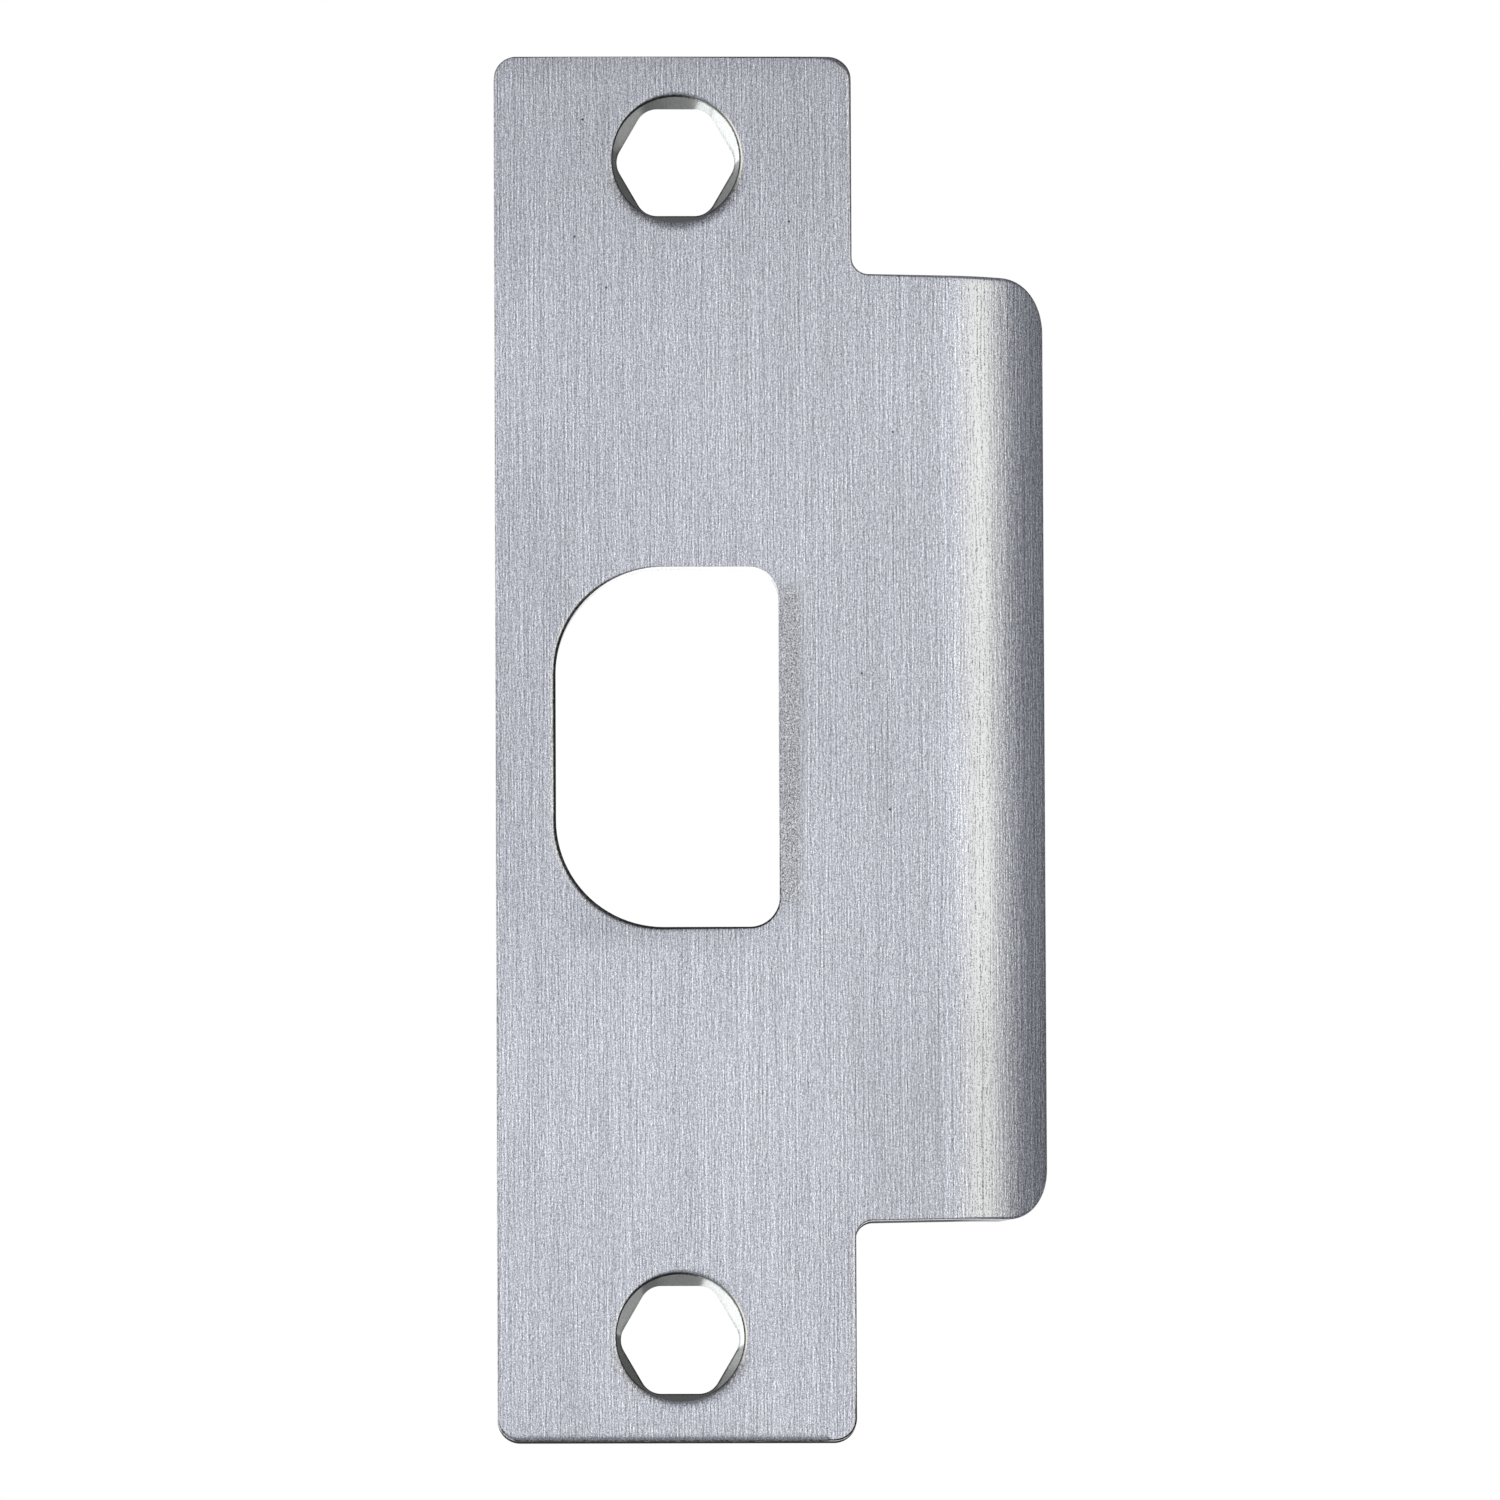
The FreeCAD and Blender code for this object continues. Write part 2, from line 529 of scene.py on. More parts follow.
@dataclass
class ScrewHole:
    """Round mouth that six pressed flats close to a hexagon with rounded corners.

    Clock angles are in degrees from the lip's side, anticlockwise.

    Attributes:
        up: up of the hole's axis, which stands at across 0.
        thickness: thickness of the sheet.
        nick: how much further the roll reaches at the nick in the mouth.
        nick_clock: clock angle of the nick.
        mouth: radius at which the taper would meet the brushed face.
        taper_end: radius of the taper at the back face.
        flats_start: depth at which the flats leave the taper.
        flats_end: distance from the axis to the flats at the back face.
        corner: radius of the hexagon's corners.
        roll: middle radius of the rolled mouth.
        roll_swing: how much the roll is larger above and below, and smaller at the sides.
        roll_right: how much it is larger to the right, and smaller to the left.
        droop_width: width of the strip outside the roll that the press pulled down.
        droop: how far that strip sinks.
        droop_low: how much further it sinks round the lower half.
        shade: how dark the painted shade on that strip is round the lower half, where it meets the
            roll.
        back_break: width of the broken back edge.
        back_margin: width of the ring of back face round the hexagon.
        seam: how dark the painted shade line is where the rolled mouth meets the taper.
        seam_width: its width up the roll, which doubles at the upper left.
        seam_fade: how much paler it is at the upper right and straight below.
        lit_clock: clock angle where the roll takes the edges' brighter cut colour, a painted
            highlight.
        fade_clock: clock angle at the upper right where the seam's line is paler.
        wide_clock: clock angle at the upper left where it is wider.
        rim: how dark the painted shadow line is round the hexagon's lower half.
        bow: how much the flats are bowed, as a share of the angle round the axis.
        front_rows: rows of points across the drooped strip and round the roll.
    """

    up: float
    thickness: float
    nick: float = 0.0
    nick_clock: float = 163.0
    mouth: float = 5.675 * MM
    taper_end: float = 5.225 * MM
    flats_start: float = 0.6 * MM
    flats_end: float = 4.75 * MM
    corner: float = 1.94 * MM
    roll: float = 0.36 * MM
    roll_swing: float = 0.1 * MM
    roll_right: float = 0.07 * MM
    droop_width: float = 0.75 * MM
    droop: float = 0.02 * MM
    droop_low: float = 0.08 * MM
    shade: float = 0.4
    back_break: float = 0.05 * MM
    back_margin: float = 0.4 * MM
    seam: float = 0.95
    seam_width: float = 0.1 * MM
    seam_fade: float = 0.6
    lit_clock: float = 12.0
    fade_clock: float = 50.0
    wide_clock: float = 115.0
    rim: float = 1.0
    bow: float = 0.5
    front_rows: tuple[int, int] = (9, 16)

    def taper_slope(self) -> float:
        """How fast the taper closes with depth."""
        return (self.mouth - self.taper_end) / self.thickness

    def taper_radius(self, depth: np.ndarray) -> np.ndarray:
        """Radius of the taper at a depth."""
        return self.mouth - self.taper_slope() * depth

    def flats_slope(self) -> float:
        """How fast the flats close with depth."""
        return (self.taper_radius(self.flats_start) - self.flats_end) / (
            self.thickness - self.flats_start)

    def angles(self) -> tuple[np.ndarray, np.ndarray]:
        """Angles round the axis, denser at the hexagon's corners.

        Returns:
            The angles from across, and the angles from the middle of the nearest flat.
        """
        share = np.linspace(-1.0, 1.0, 31)[:-1]
        sixth = HALF_FLAT * np.sign(share) * (1 - (1 - np.abs(share)) ** 1.5)
        middles = HALF_FLAT + np.arange(6)[:, None] * 2 * HALF_FLAT
        return (middles + sixth).ravel(), np.tile(sixth, 6)

    def hexagon(self, local: np.ndarray, flats: np.ndarray) -> tuple[np.ndarray, np.ndarray]:
        """Hexagon with rounded corners.

        A flat lies at its distance over the cosine of the angle. A corner is an arc about the
        point that lies one corner radius inside both of its flats.

        Args:
            local: angles from the middle of the nearest flat.
            flats: distances from the axis to the flats.

        Returns:
            The radii, and the angles that the outline has turned from the flat's own direction.
        """
        inner = flats - self.corner
        slip = HALF_FLAT - np.abs(local)
        centre = inner / math.cos(HALF_FLAT)
        spread = np.maximum(self.corner**2 - (centre * np.sin(slip)) ** 2, 0.0)
        rounded = centre * np.cos(slip) + np.sqrt(spread)
        end = inner * math.tan(HALF_FLAT)
        turn = np.arctan2(rounded * np.sin(np.abs(local)) - end, rounded * np.cos(local) - inner)
        straight = np.tan(np.abs(local)) * flats < end
        return (np.where(straight, flats / np.cos(local), rounded),
                np.where(straight, 0.0, np.sign(local) * turn))

    def near_clock(self, angle: np.ndarray, clock: float, low: float, high: float) -> np.ndarray:
        """Share that rises with the cosine of the angle from a clock angle, from low to high."""
        return smooth(np.cos(angle - math.radians(clock)), low, high)

    def lower(self, angle: np.ndarray) -> np.ndarray:
        """Share of the lower half at an angle, 1 below the axis and 0 level with it."""
        return self.near_clock(angle, BELOW, 0.05, 0.45)

    def round_rows(self, angle: np.ndarray) -> tuple[np.ndarray, np.ndarray, np.ndarray]:
        """Rows of the mouth, which is round: the drooped strip and the roll.

        The roll ends with the taper's tilt, and its radius changes with the cosines of the
        angle and of twice the angle.

        Args:
            angle: angles round the axis.

        Returns:
            Radius, depth and tilt of each row at each angle.
        """
        from_nick = np.abs(angle - math.radians(self.nick_clock))
        roll = self.roll - self.roll_swing * np.cos(2 * angle) + self.roll_right * np.cos(angle)
        roll = roll + self.nick * (1 - smooth(from_nick, 0.0, 0.1))
        droop = self.droop + self.droop_low * self.lower(angle)
        last = UPRIGHT - math.atan(self.taper_slope())
        inset, depth, tilt = rolled(roll, droop, self.droop_width, last, self.front_rows)
        return self.taper_radius(depth[-1]) + inset, depth, tilt

    def placed(self, angle: np.ndarray, radius: np.ndarray, depth: np.ndarray) -> np.ndarray:
        """Blank points at angles, radii and depths about the axis."""
        across, up = radius * np.cos(angle), self.up + radius * np.sin(angle)
        return np.stack(np.broadcast_arrays(across, up, depth), axis=-1)

    def faced(self, angle: np.ndarray, tilt: np.ndarray) -> np.ndarray:
        """Blank directions that face the axis at an angle, tilted from the brushed face."""
        across, up = -np.sin(tilt) * np.cos(angle), -np.sin(tilt) * np.sin(angle)
        return np.stack(np.broadcast_arrays(across, up, np.cos(tilt)), axis=-1)

    def patches(self) -> list[Patch]:
        """Works out the hole's skin.

        Below the round mouth each point of the funnel lies on the taper or on the hexagon of
        its depth, whichever is nearer to the axis, and faces the way the hexagon does.

        Returns:
            The patches of the mouth, the funnel and the back edge.
        """
        angle, local = self.angles()
        radius, depth, tilt = self.round_rows(angle)
        # lit puts the brighter cut colour on the right of the roll as a painted highlight; seam,
        # shade and rim are painted shade.
        lit = self.near_clock(angle, self.lit_clock, 0.75, 0.95)
        below = self.near_clock(angle, BELOW, 0.75, 1.0)
        faded = np.maximum(self.near_clock(angle, self.fade_clock, 0.75, 1.0), 1.3 * below)
        wide = self.seam_width * (1 + self.near_clock(angle, self.wide_clock, 0.6, 1.0))
        seam = self.seam - self.seam_fade * faded
        shade = self.shade * self.lower(angle) * (1 - 0.7 * below)
        near = 1 - smooth(radius - radius[-1], 0.6 * wide, 1.2 * wide)
        sunk = radius[self.front_rows[0] - 1]
        strip = np.clip(1 - (radius - sunk) / self.droop_width, 0.0, 1.0)
        # Straight below the axis the roll keeps the face's lighter colour to a steeper tilt, as
        # painted light.
        steep = np.radians(25 + 20 * below)
        mouth = grid_patch(
            self.placed(angle, radius, depth), self.faced(angle, tilt),
            {Finish.PRESSED: smooth(tilt, steep, steep + math.radians(25)),
             Finish.CUT: lit * smooth(tilt, math.radians(6), math.radians(14)),
             Finish.DARK: np.maximum(seam * near, shade * strip)})

        bottom = self.thickness - self.back_break
        middle = np.linspace(0.15, 0.75, 7)
        share = np.concatenate([[0.0, 0.04], middle, [0.8, 0.88, 0.95, 1.0]])[:, None]
        funnel_depth = depth[-1] + share * (bottom - depth[-1])
        flats = self.flats_end + self.flats_slope() * (self.thickness - funnel_depth)
        hexagon, turn = self.hexagon(local, flats)
        funnel_radius = np.minimum(self.taper_radius(funnel_depth), hexagon)
        flat_tilt = UPRIGHT - math.atan(self.flats_slope())
        rim = self.rim * (0.5 - 0.5 * np.sin(angle)) ** 1.2
        line = seam * (share == 0) + rim * smooth(share, 0.76, 0.9)
        facing = angle - local + turn + self.bow * (local - turn)
        funnel = grid_patch(
            self.placed(angle, funnel_radius, funnel_depth),
            self.faced(facing, flat_tilt + 0 * funnel_depth),
            {Finish.PRESSED: 1 + 0 * share, Finish.DARK: line})

        rows = np.array([0.0, self.back_break, self.back_break + self.back_margin])[:, None]
        back_depth = np.array([bottom, self.thickness, self.thickness])[:, None]
        back_tilt = np.array([0.6, 1.0, 1.0])[:, None] * math.pi
        broken = np.array([1.0, 1.0, 0.0])[:, None]
        back = grid_patch(
            self.placed(angle, funnel_radius[-1] + rows, back_depth),
            self.faced(angle, back_tilt + 0 * angle),
            {Finish.PRESSED: broken, Finish.DARK: rim * broken})
        return [mouth, funnel, back]

    def rings(self) -> tuple[np.ndarray, np.ndarray]:
        """Outer rings of the hole's skin on the brushed face and on the back face."""
        mouth, _, back = self.patches()
        count = len(self.angles()[0])
        return mouth.place[:count, :2], back.place[-count:, :2]


def new_object(data: bpy.types.ID) -> bpy.types.Object:
    """Object in the scene that shows the data and takes its name."""
    made = bpy.data.objects.new(data.name, data)
    bpy.context.scene.collection.objects.link(made)
    return made


@dataclass
class StrikePlate:
    """The plate: its blank's outlines and holes, its fold and its one finish.

    Attributes:
        low: lowest corner of the CAD node.
        high: highest corner of the CAD node.
        width: width of the flat part without the lip.
        corner: radius of its four corners.
        screw_to_end: distance from each screw hole's axis to the nearer end.
        latch_width: width of the latch opening.
        latch_height: its height.
        latch_to_edge: distance from it to the edge away from the lip.
        latch_far_corner: radius of its corners on that side.
        latch_lip_corner: radius of its corners on the lip's side.
        latch_droop: width and share of the droop round it.
        lip_height: height of the lip where it leaves the flat part.
        lip_flat: how far it runs before the fold.
        lip_taper: angle by which each long edge of it closes in, in degrees.
        lip_radius: radius of the fold's brushed face.
        lip_angle: angle of the fold, in degrees.
        lip_corner: radius of the corners at its end.
        notch: radius where it meets the flat part.
        upper_nick: depth of the nick in the upper hole's mouth.
        arc_step: largest turn between two points of an arc, in radians.
        lip_columns: number of pieces that its long edges are drawn in past the bend line.
        lip_rows: number of pieces that its end is drawn in.
    """

    low: Vector
    high: Vector
    width: float = 31.6 * MM
    corner: float = 2.0 * MM
    screw_to_end: float = 9.1625 * MM
    latch_width: float = 19.7 * MM
    latch_height: float = 32.0 * MM
    latch_to_edge: float = 5.3 * MM
    latch_far_corner: float = 9.5 * MM
    latch_lip_corner: float = 2.65 * MM
    latch_droop: tuple[float, float] = (0.4 * MM, 0.12)
    lip_height: float = 84.25 * MM
    lip_flat: float = 8.5 * MM
    lip_taper: float = 1.0
    lip_radius: float = 12.0 * MM
    lip_angle: float = 46.0
    lip_corner: float = 4.7 * MM
    notch: float = 1.5 * MM
    upper_nick: float = 0.16 * MM
    arc_step: float = math.radians(4)
    lip_columns: int = 24
    lip_rows: int = 24

    def __post_init__(self) -> None:
        """Works out the places that follow from the sizes and the CAD node's box."""
        self.edge = self.low.x
        self.top = self.high.z
        self.shoulder = self.edge + self.width
        self.sheet = Sheet(
            front=self.low.y, thickness=-self.low.y, bend_line=self.shoulder + self.lip_flat,
            bend_radius=self.lip_radius, bend_angle=math.radians(self.lip_angle))
        spacing = 2 * (self.top - self.screw_to_end)
        self.holes = [ScrewHole(spacing / 2, self.sheet.thickness, self.upper_nick),
                      ScrewHole(-spacing / 2, self.sheet.thickness)]

    def lip_top(self, across: float) -> float:
        """Up of the lip's top edge, which falls with the taper away from the shoulder."""
        slope = math.tan(math.radians(self.lip_taper))
        return self.lip_height / 2 - (across - self.shoulder) * slope

    def outer_corners(self) -> list[Corner]:
        """Corners of the blank, anticlockwise from its bottom left.

        The bare points between them are where the edge's state changes: the bottom edge and the
        top corner beside the lip are rolled further than the rest. The line of each state is
        painted shade along the roll.
        """
        edge, shoulder, top, half = self.edge, self.shoulder, self.top, self.lip_height / 2
        bend, end = self.sheet.bend_line, self.sheet.end
        before = bend - 6.0 * MM
        crisp = (0.17, 0.4, 0.4, 5)
        deep = (0.47, 0.88, 1.0, 30, 50)
        under_lip = (0.12, 0.2, 0.9)
        lip_end = (0.4, 0.45, 0.0, 12, 15)
        return [
            Corner(edge, -top, self.corner, 0.3, 0.8, 1.0, 20, 40),
            Corner(edge + 2.6 * MM, -top, 0, *deep),
            Corner(shoulder - 2.6 * MM, -top, 0, *deep),
            Corner(shoulder - 2.3 * MM, -top, 0, 0.16, 1.0, 1.0),
            Corner(shoulder, -top, self.corner, 0.2, 1.0, 1.0),
            Corner(shoulder, -top + 2.5 * MM, 0, 0.3, 0.95, 0.4, 25),
            Corner(shoulder, -top + 5.0 * MM, 0, 0.16, 0.45, 0.4, 8),
            Corner(shoulder, -half, self.notch, 0.14, 0.7, 1.0, 5),
            Corner(before, -self.lip_top(before), 0, *under_lip),
            Corner(bend, -self.lip_top(bend), 0, *under_lip, pieces=self.lip_columns),
            Corner(end, -self.lip_top(end), self.lip_corner, *lip_end, self.lip_rows),
            Corner(end, self.lip_top(end), self.lip_corner, *lip_end, self.lip_columns),
            Corner(bend, self.lip_top(bend), 0, 0.32, 0.1),
            Corner(shoulder, half, self.notch, *crisp),
            Corner(shoulder, top - 2.3 * MM, 0, 0.3, 0.75, 0.4, 40),
            Corner(shoulder, top - 2.1 * MM, 0, 0.3, 0.0, 0.3, 15),
            Corner(shoulder, top, self.corner, 0.6, 0.65, 0.3, 0, 80),
            Corner(shoulder - 3.0 * MM, top, 0, 0.25, 0.5, 0.0, 12, 30),
            Corner(shoulder - 6.0 * MM, top, 0, 0.2, 0.8),
            Corner(shoulder - 12.0 * MM, top, 0, 0.16, 0.6),
            Corner(shoulder - 18.0 * MM, top, 0, 0.07, 0.1),
            Corner(edge + 8.0 * MM, top, 0, 0.07, 0.1),
            Corner(edge + 2.6 * MM, top, 0, 0.14, 0.45),
            Corner(edge, top, self.corner, 0.12, 0.3, 0.4, 5),
            Corner(edge, -top + 2.3 * MM, 0, *crisp),
        ]

    def latch_corners(self) -> list[Corner]:
        """Corners of the latch opening, anticlockwise from its bottom left.

        A painted shade line runs along the roll from the top left round to the bottom right, and
        it fades out up the lip's side and along the top.
        """
        left = self.edge + self.latch_to_edge
        right, top = left + self.latch_width, self.latch_height / 2
        far, near = self.latch_far_corner, self.latch_lip_corner
        past = 1.1 * far
        return [
            Corner(left, -top, far, 0.55, 0.85, 0.0, 8, 25),
            Corner(left + past, -top, 0, 0.35, 1.0),
            Corner(right, -top, near, 0.25, 1.0),
            Corner(right, 1.7 * near - top, 0, 0.18, 0.5),
            Corner(right, 0.0, 0, 0.1, 0.35),
            Corner(right, top, near, 0.04),
            Corner(left + past, top, 0, 0.04),
            Corner(left, top, far, 0.33, 0.9, 0.0, 10),
            Corner(left, top - past, 0, 0.37, 1.0, 0.0, 11),
            Corner(left, past - top, 0, 0.37, 1.0, 0.0, 11),
        ]

    def edge_patch(self, outline: Outline, profile: Profile) -> Patch:
        """Skin of an edge: the profile carried along the outline.

        A point stands its inset inside the outline and at its depth, and faces outwards by the
        sine of the tilt and to the front by its cosine.

        Args:
            outline: line on the blank that the edge follows.
            profile: section of the edge.

        Returns:
            The patch, with a row for each point of the profile.
        """
        points, outward = outline.points[None], outline.outward[None]
        tilt = profile.tilt[..., None]
        level = np.ones(profile.inset.shape + (1,))
        place = np.concatenate(
            [points - outward * profile.inset[..., None], profile.depth[..., None]], axis=2)
        facing = np.concatenate([outward * np.sin(tilt), level * np.cos(tilt)], axis=2)
        return grid_patch(place, facing, profile.shares)

    def lip_patch(self, ring: np.ndarray, start: int, depth: float, side: Side) -> Patch:
        """Skin of the folded part of the lip, in columns that join its two long edges.

        Args:
            ring: (n, 2) ring that the edge's skin ends with.
            start: number of the ring's point at the foot of the bend line.
            depth: depth of the skin below the brushed face.
            side: side of the sheet that it lies on.

        Returns:
            The patch, whose first column is the bend line.
        """
        columns = self.columns(ring, start)
        share = np.linspace(0.0, 1.0, self.lip_rows + 1)[:, None, None]
        foot = ring[start:start + columns][None]
        head = ring[start + self.lip_rows + columns - 1:start + self.lip_rows + 2 * columns - 1]
        points = foot + share * (head[::-1][None] - foot)
        level = np.ones(points.shape[:2] + (1,))
        facing = np.concatenate([0 * points, level * side.value], axis=2)
        place = np.concatenate([points, level * depth], axis=2)
        return grid_patch(place, facing, {}, closed=False)

    def columns(self, ring: np.ndarray, start: int) -> int:
        """Number of points along one long edge of the lip, from the bend line to its end."""
        return int(np.argmax(ring[start:, 0] >= ring[:, 0].max() - 1e-9)) + 1

    def build(self) -> bpy.types.Object:
        """Builds the plate's skin and hands it over to the frame.

        Returns:
            The finished piece.
        """
        outer = Outline.rounded(self.outer_corners(), self.arc_step)
        latch = Outline.rounded(self.latch_corners(), self.arc_step, hole=True)
        thickness = self.sheet.thickness
        rim = self.edge_patch(outer, PunchedEdge().profile(thickness, outer.states))
        pulled = PunchedEdge(*self.latch_droop)
        window = self.edge_patch(latch, pulled.profile(thickness, latch.states))
        skin = Skin(self.sheet, [rim, window])
        for hole in self.holes:
            skin.patches += hole.patches()
        foot = np.array([self.sheet.bend_line, -self.lip_top(self.sheet.bend_line)])
        start = int(np.argmin(np.linalg.norm(outer.points - foot, axis=1)))
        for number, side in enumerate(Side):
            depth = thickness * number
            rings = [patch.place[:count, :2] if side is Side.BRUSHED else patch.place[-count:, :2]
                     for patch, count in ((rim, len(outer.points)), (window, len(latch.points)))]
            lip = self.lip_patch(rings[0], start, depth, side)
            columns = self.columns(rings[0], start)
            bend = lip.place[::columns, :2]
            stop = start + self.lip_rows + 2 * columns - 2
            around = np.concatenate([rings[0][stop:], rings[0][:start], bend[:-1]])
            holes = [rings[1]] + [hole.rings()[number] for hole in self.holes]
            skin.patches += [lip, flat_patch(around, holes, depth, side)]
        plate = new_object(skin.mesh("brushed_plate"))
        plate.data.materials.append(BrushedSteel(self).material())
        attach(plate, "root")
        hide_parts(NODE)
        return plate


class Wire:
    """Output of a shader node, on which Python's arithmetic adds Math nodes."""

    def __init__(self, shader: "Shader", socket: bpy.types.NodeSocket) -> None:
        """Keeps the shader that the output belongs to, and the output itself."""
        self.shader = shader
        self.socket = socket

    def __add__(self, other: object) -> "Wire":
        """This plus other."""
        return self.shader.math("ADD", self, other)

    __radd__ = __add__

    def __sub__(self, other: object) -> "Wire":
        """This less other."""
        return self.shader.math("SUBTRACT", self, other)

    def __rsub__(self, other: object) -> "Wire":
        """Other less this."""
        return self.shader.math("SUBTRACT", other, self)

    def __mul__(self, other: object) -> "Wire":
        """This times other."""
        return self.shader.math("MULTIPLY", self, other)

    __rmul__ = __mul__

    def __abs__(self) -> "Wire":
        """Size of this without its sign."""
        return self.shader.math("ABSOLUTE", self, 0.0)


class Shader:
    """Node tree of a material or of the world, with one method that adds any node."""

    def __init__(self, owner: bpy.types.ID) -> None:
        """Empties the owner's node tree.

        Args:
            owner: material or world.
        """
        owner.use_nodes = True
        self.tree = owner.node_tree
        self.tree.nodes.clear()

    def node(self, kind: str, settings: dict[str, object] | None = None,
             sockets: dict[object, object] | None = None, output: object = 0) -> Wire:
        """Adds a node.

        Args:
            kind: the node's type.
            settings: its own settings, which are set before its sockets.
            sockets: a number, tuple or wire for each named or numbered input.
            output: name or number of the output to return.

        Returns:
            That output.
        """
        made = self.tree.nodes.new(kind)
        for name, value in (settings or {}).items():
            setattr(made, name, value)
        for name, value in (sockets or {}).items():
            if isinstance(value, Wire):
                self.tree.links.new(value.socket, made.inputs[name])
            else:
                made.inputs[name].default_value = value
        return Wire(self, made.outputs[output] if len(made.outputs) else None)

    def math(self, operation: str, first: object, second: object) -> Wire:
        """Adds one Math node, whose inputs are numbers or wires."""
        return self.node("ShaderNodeMath", {"operation": operation}, {0: first, 1: second})

    def attribute(self, name: str, output: str) -> Wire:
        """One of the mesh's own attributes."""
        return self.node("ShaderNodeAttribute", {"attribute_name": name}, output=output)

    def scaled(self, vector: Wire, scale: Scale) -> Wire:
        """Vector with each of its numbers multiplied."""
        return self.node("ShaderNodeVectorMath", {"operation": "MULTIPLY"}, {0: vector, 1: scale})

    def rise(self, value: Wire, low: float, high: float) -> Wire:
        """Share that rises smoothly from 0 at low to 1 at high."""
        return self.node(
            "ShaderNodeMapRange", {"interpolation_type": "SMOOTHSTEP"},
            {"Value": value, "From Min": low, "From Max": high})

    def band(self, value: Wire, places: Band) -> Wire:
        """Share of a strip, with soft ends."""
        start, full, fade, end = places
        return self.rise(value, start, full) * (1.0 - self.rise(value, fade, end))

    def blend(self, share: Wire, first: Wire, second: Wire) -> Wire:
        """Colour between two colours."""
        return self.node(
            "ShaderNodeMix", {"data_type": "RGBA"}, {0: share, 6: first, 7: second}, 2)

    def shade(self, colour: Colour, factor: Wire) -> Wire:
        """Colour made lighter or darker by a factor."""
        grey = self.node(
            "ShaderNodeCombineXYZ", sockets={"X": factor, "Y": factor, "Z": factor})
        return self.node("ShaderNodeVectorMath", {"operation": "MULTIPLY"}, {0: colour, 1: grey})


class SkinShader(Shader):
    """Node tree of the plate's skin, which reads the blank's places in millimetres."""

    def __init__(self, owner: bpy.types.Material) -> None:
        """Reads the place of each point of the skin, and its across, up and depth.

        Args:
            owner: the plate's material.
        """
        super().__init__(owner)
        self.place = self.scaled(self.attribute(PLACE, "Vector"), (1 / MM, 1 / MM, 1 / MM))
        split = self.node("ShaderNodeSeparateXYZ", sockets={0: self.place}).socket.node.outputs
        self.across, self.up, self.depth = (Wire(self, split[name]) for name in "XYZ")

    def noise(self, scale: Scale, detail: float = 2.0, roughness: float = 0.55,
              aside: float = 0.0) -> Wire:
        """Noise about 0, with about a unit's spread.

        The scaled place is also turned, so that no line of the noise's own grid is level.

        Args:
            scale: features per millimetre along each axis.
            detail: number of finer layers.
            roughness: how strong each finer layer is.
            aside: how far to the right of each point the noise is read.

        Returns:
            The noise.
        """
        place = self.place
        if aside:
            place = self.node(
                "ShaderNodeVectorMath", {"operation": "ADD"}, {0: place, 1: (aside, 0.0, 0.0)})
        turned = self.node("ShaderNodeMapping", sockets={
            "Vector": place, "Scale": scale, "Rotation": (0.45, 0.3, 0.55)})
        raw = self.node(
            "ShaderNodeTexNoise", {"noise_dimensions": "3D"},
            {"Vector": turned, "Scale": 1.0, "Detail": detail, "Roughness": roughness}, "Fac")
        return (raw - 0.5) * 8.0

    def furrows(self, scale: Scale, detail: float) -> Wire:
        """Noise whose marks each have a light side and a dark side.

        Args:
            scale: features per millimetre along each axis.
            detail: number of finer layers.

        Returns:
            The noise less most of the same noise a little further across.
        """
        return self.noise(scale, detail, 0.6) - 0.75 * self.noise(scale, detail, 0.6, 0.12)


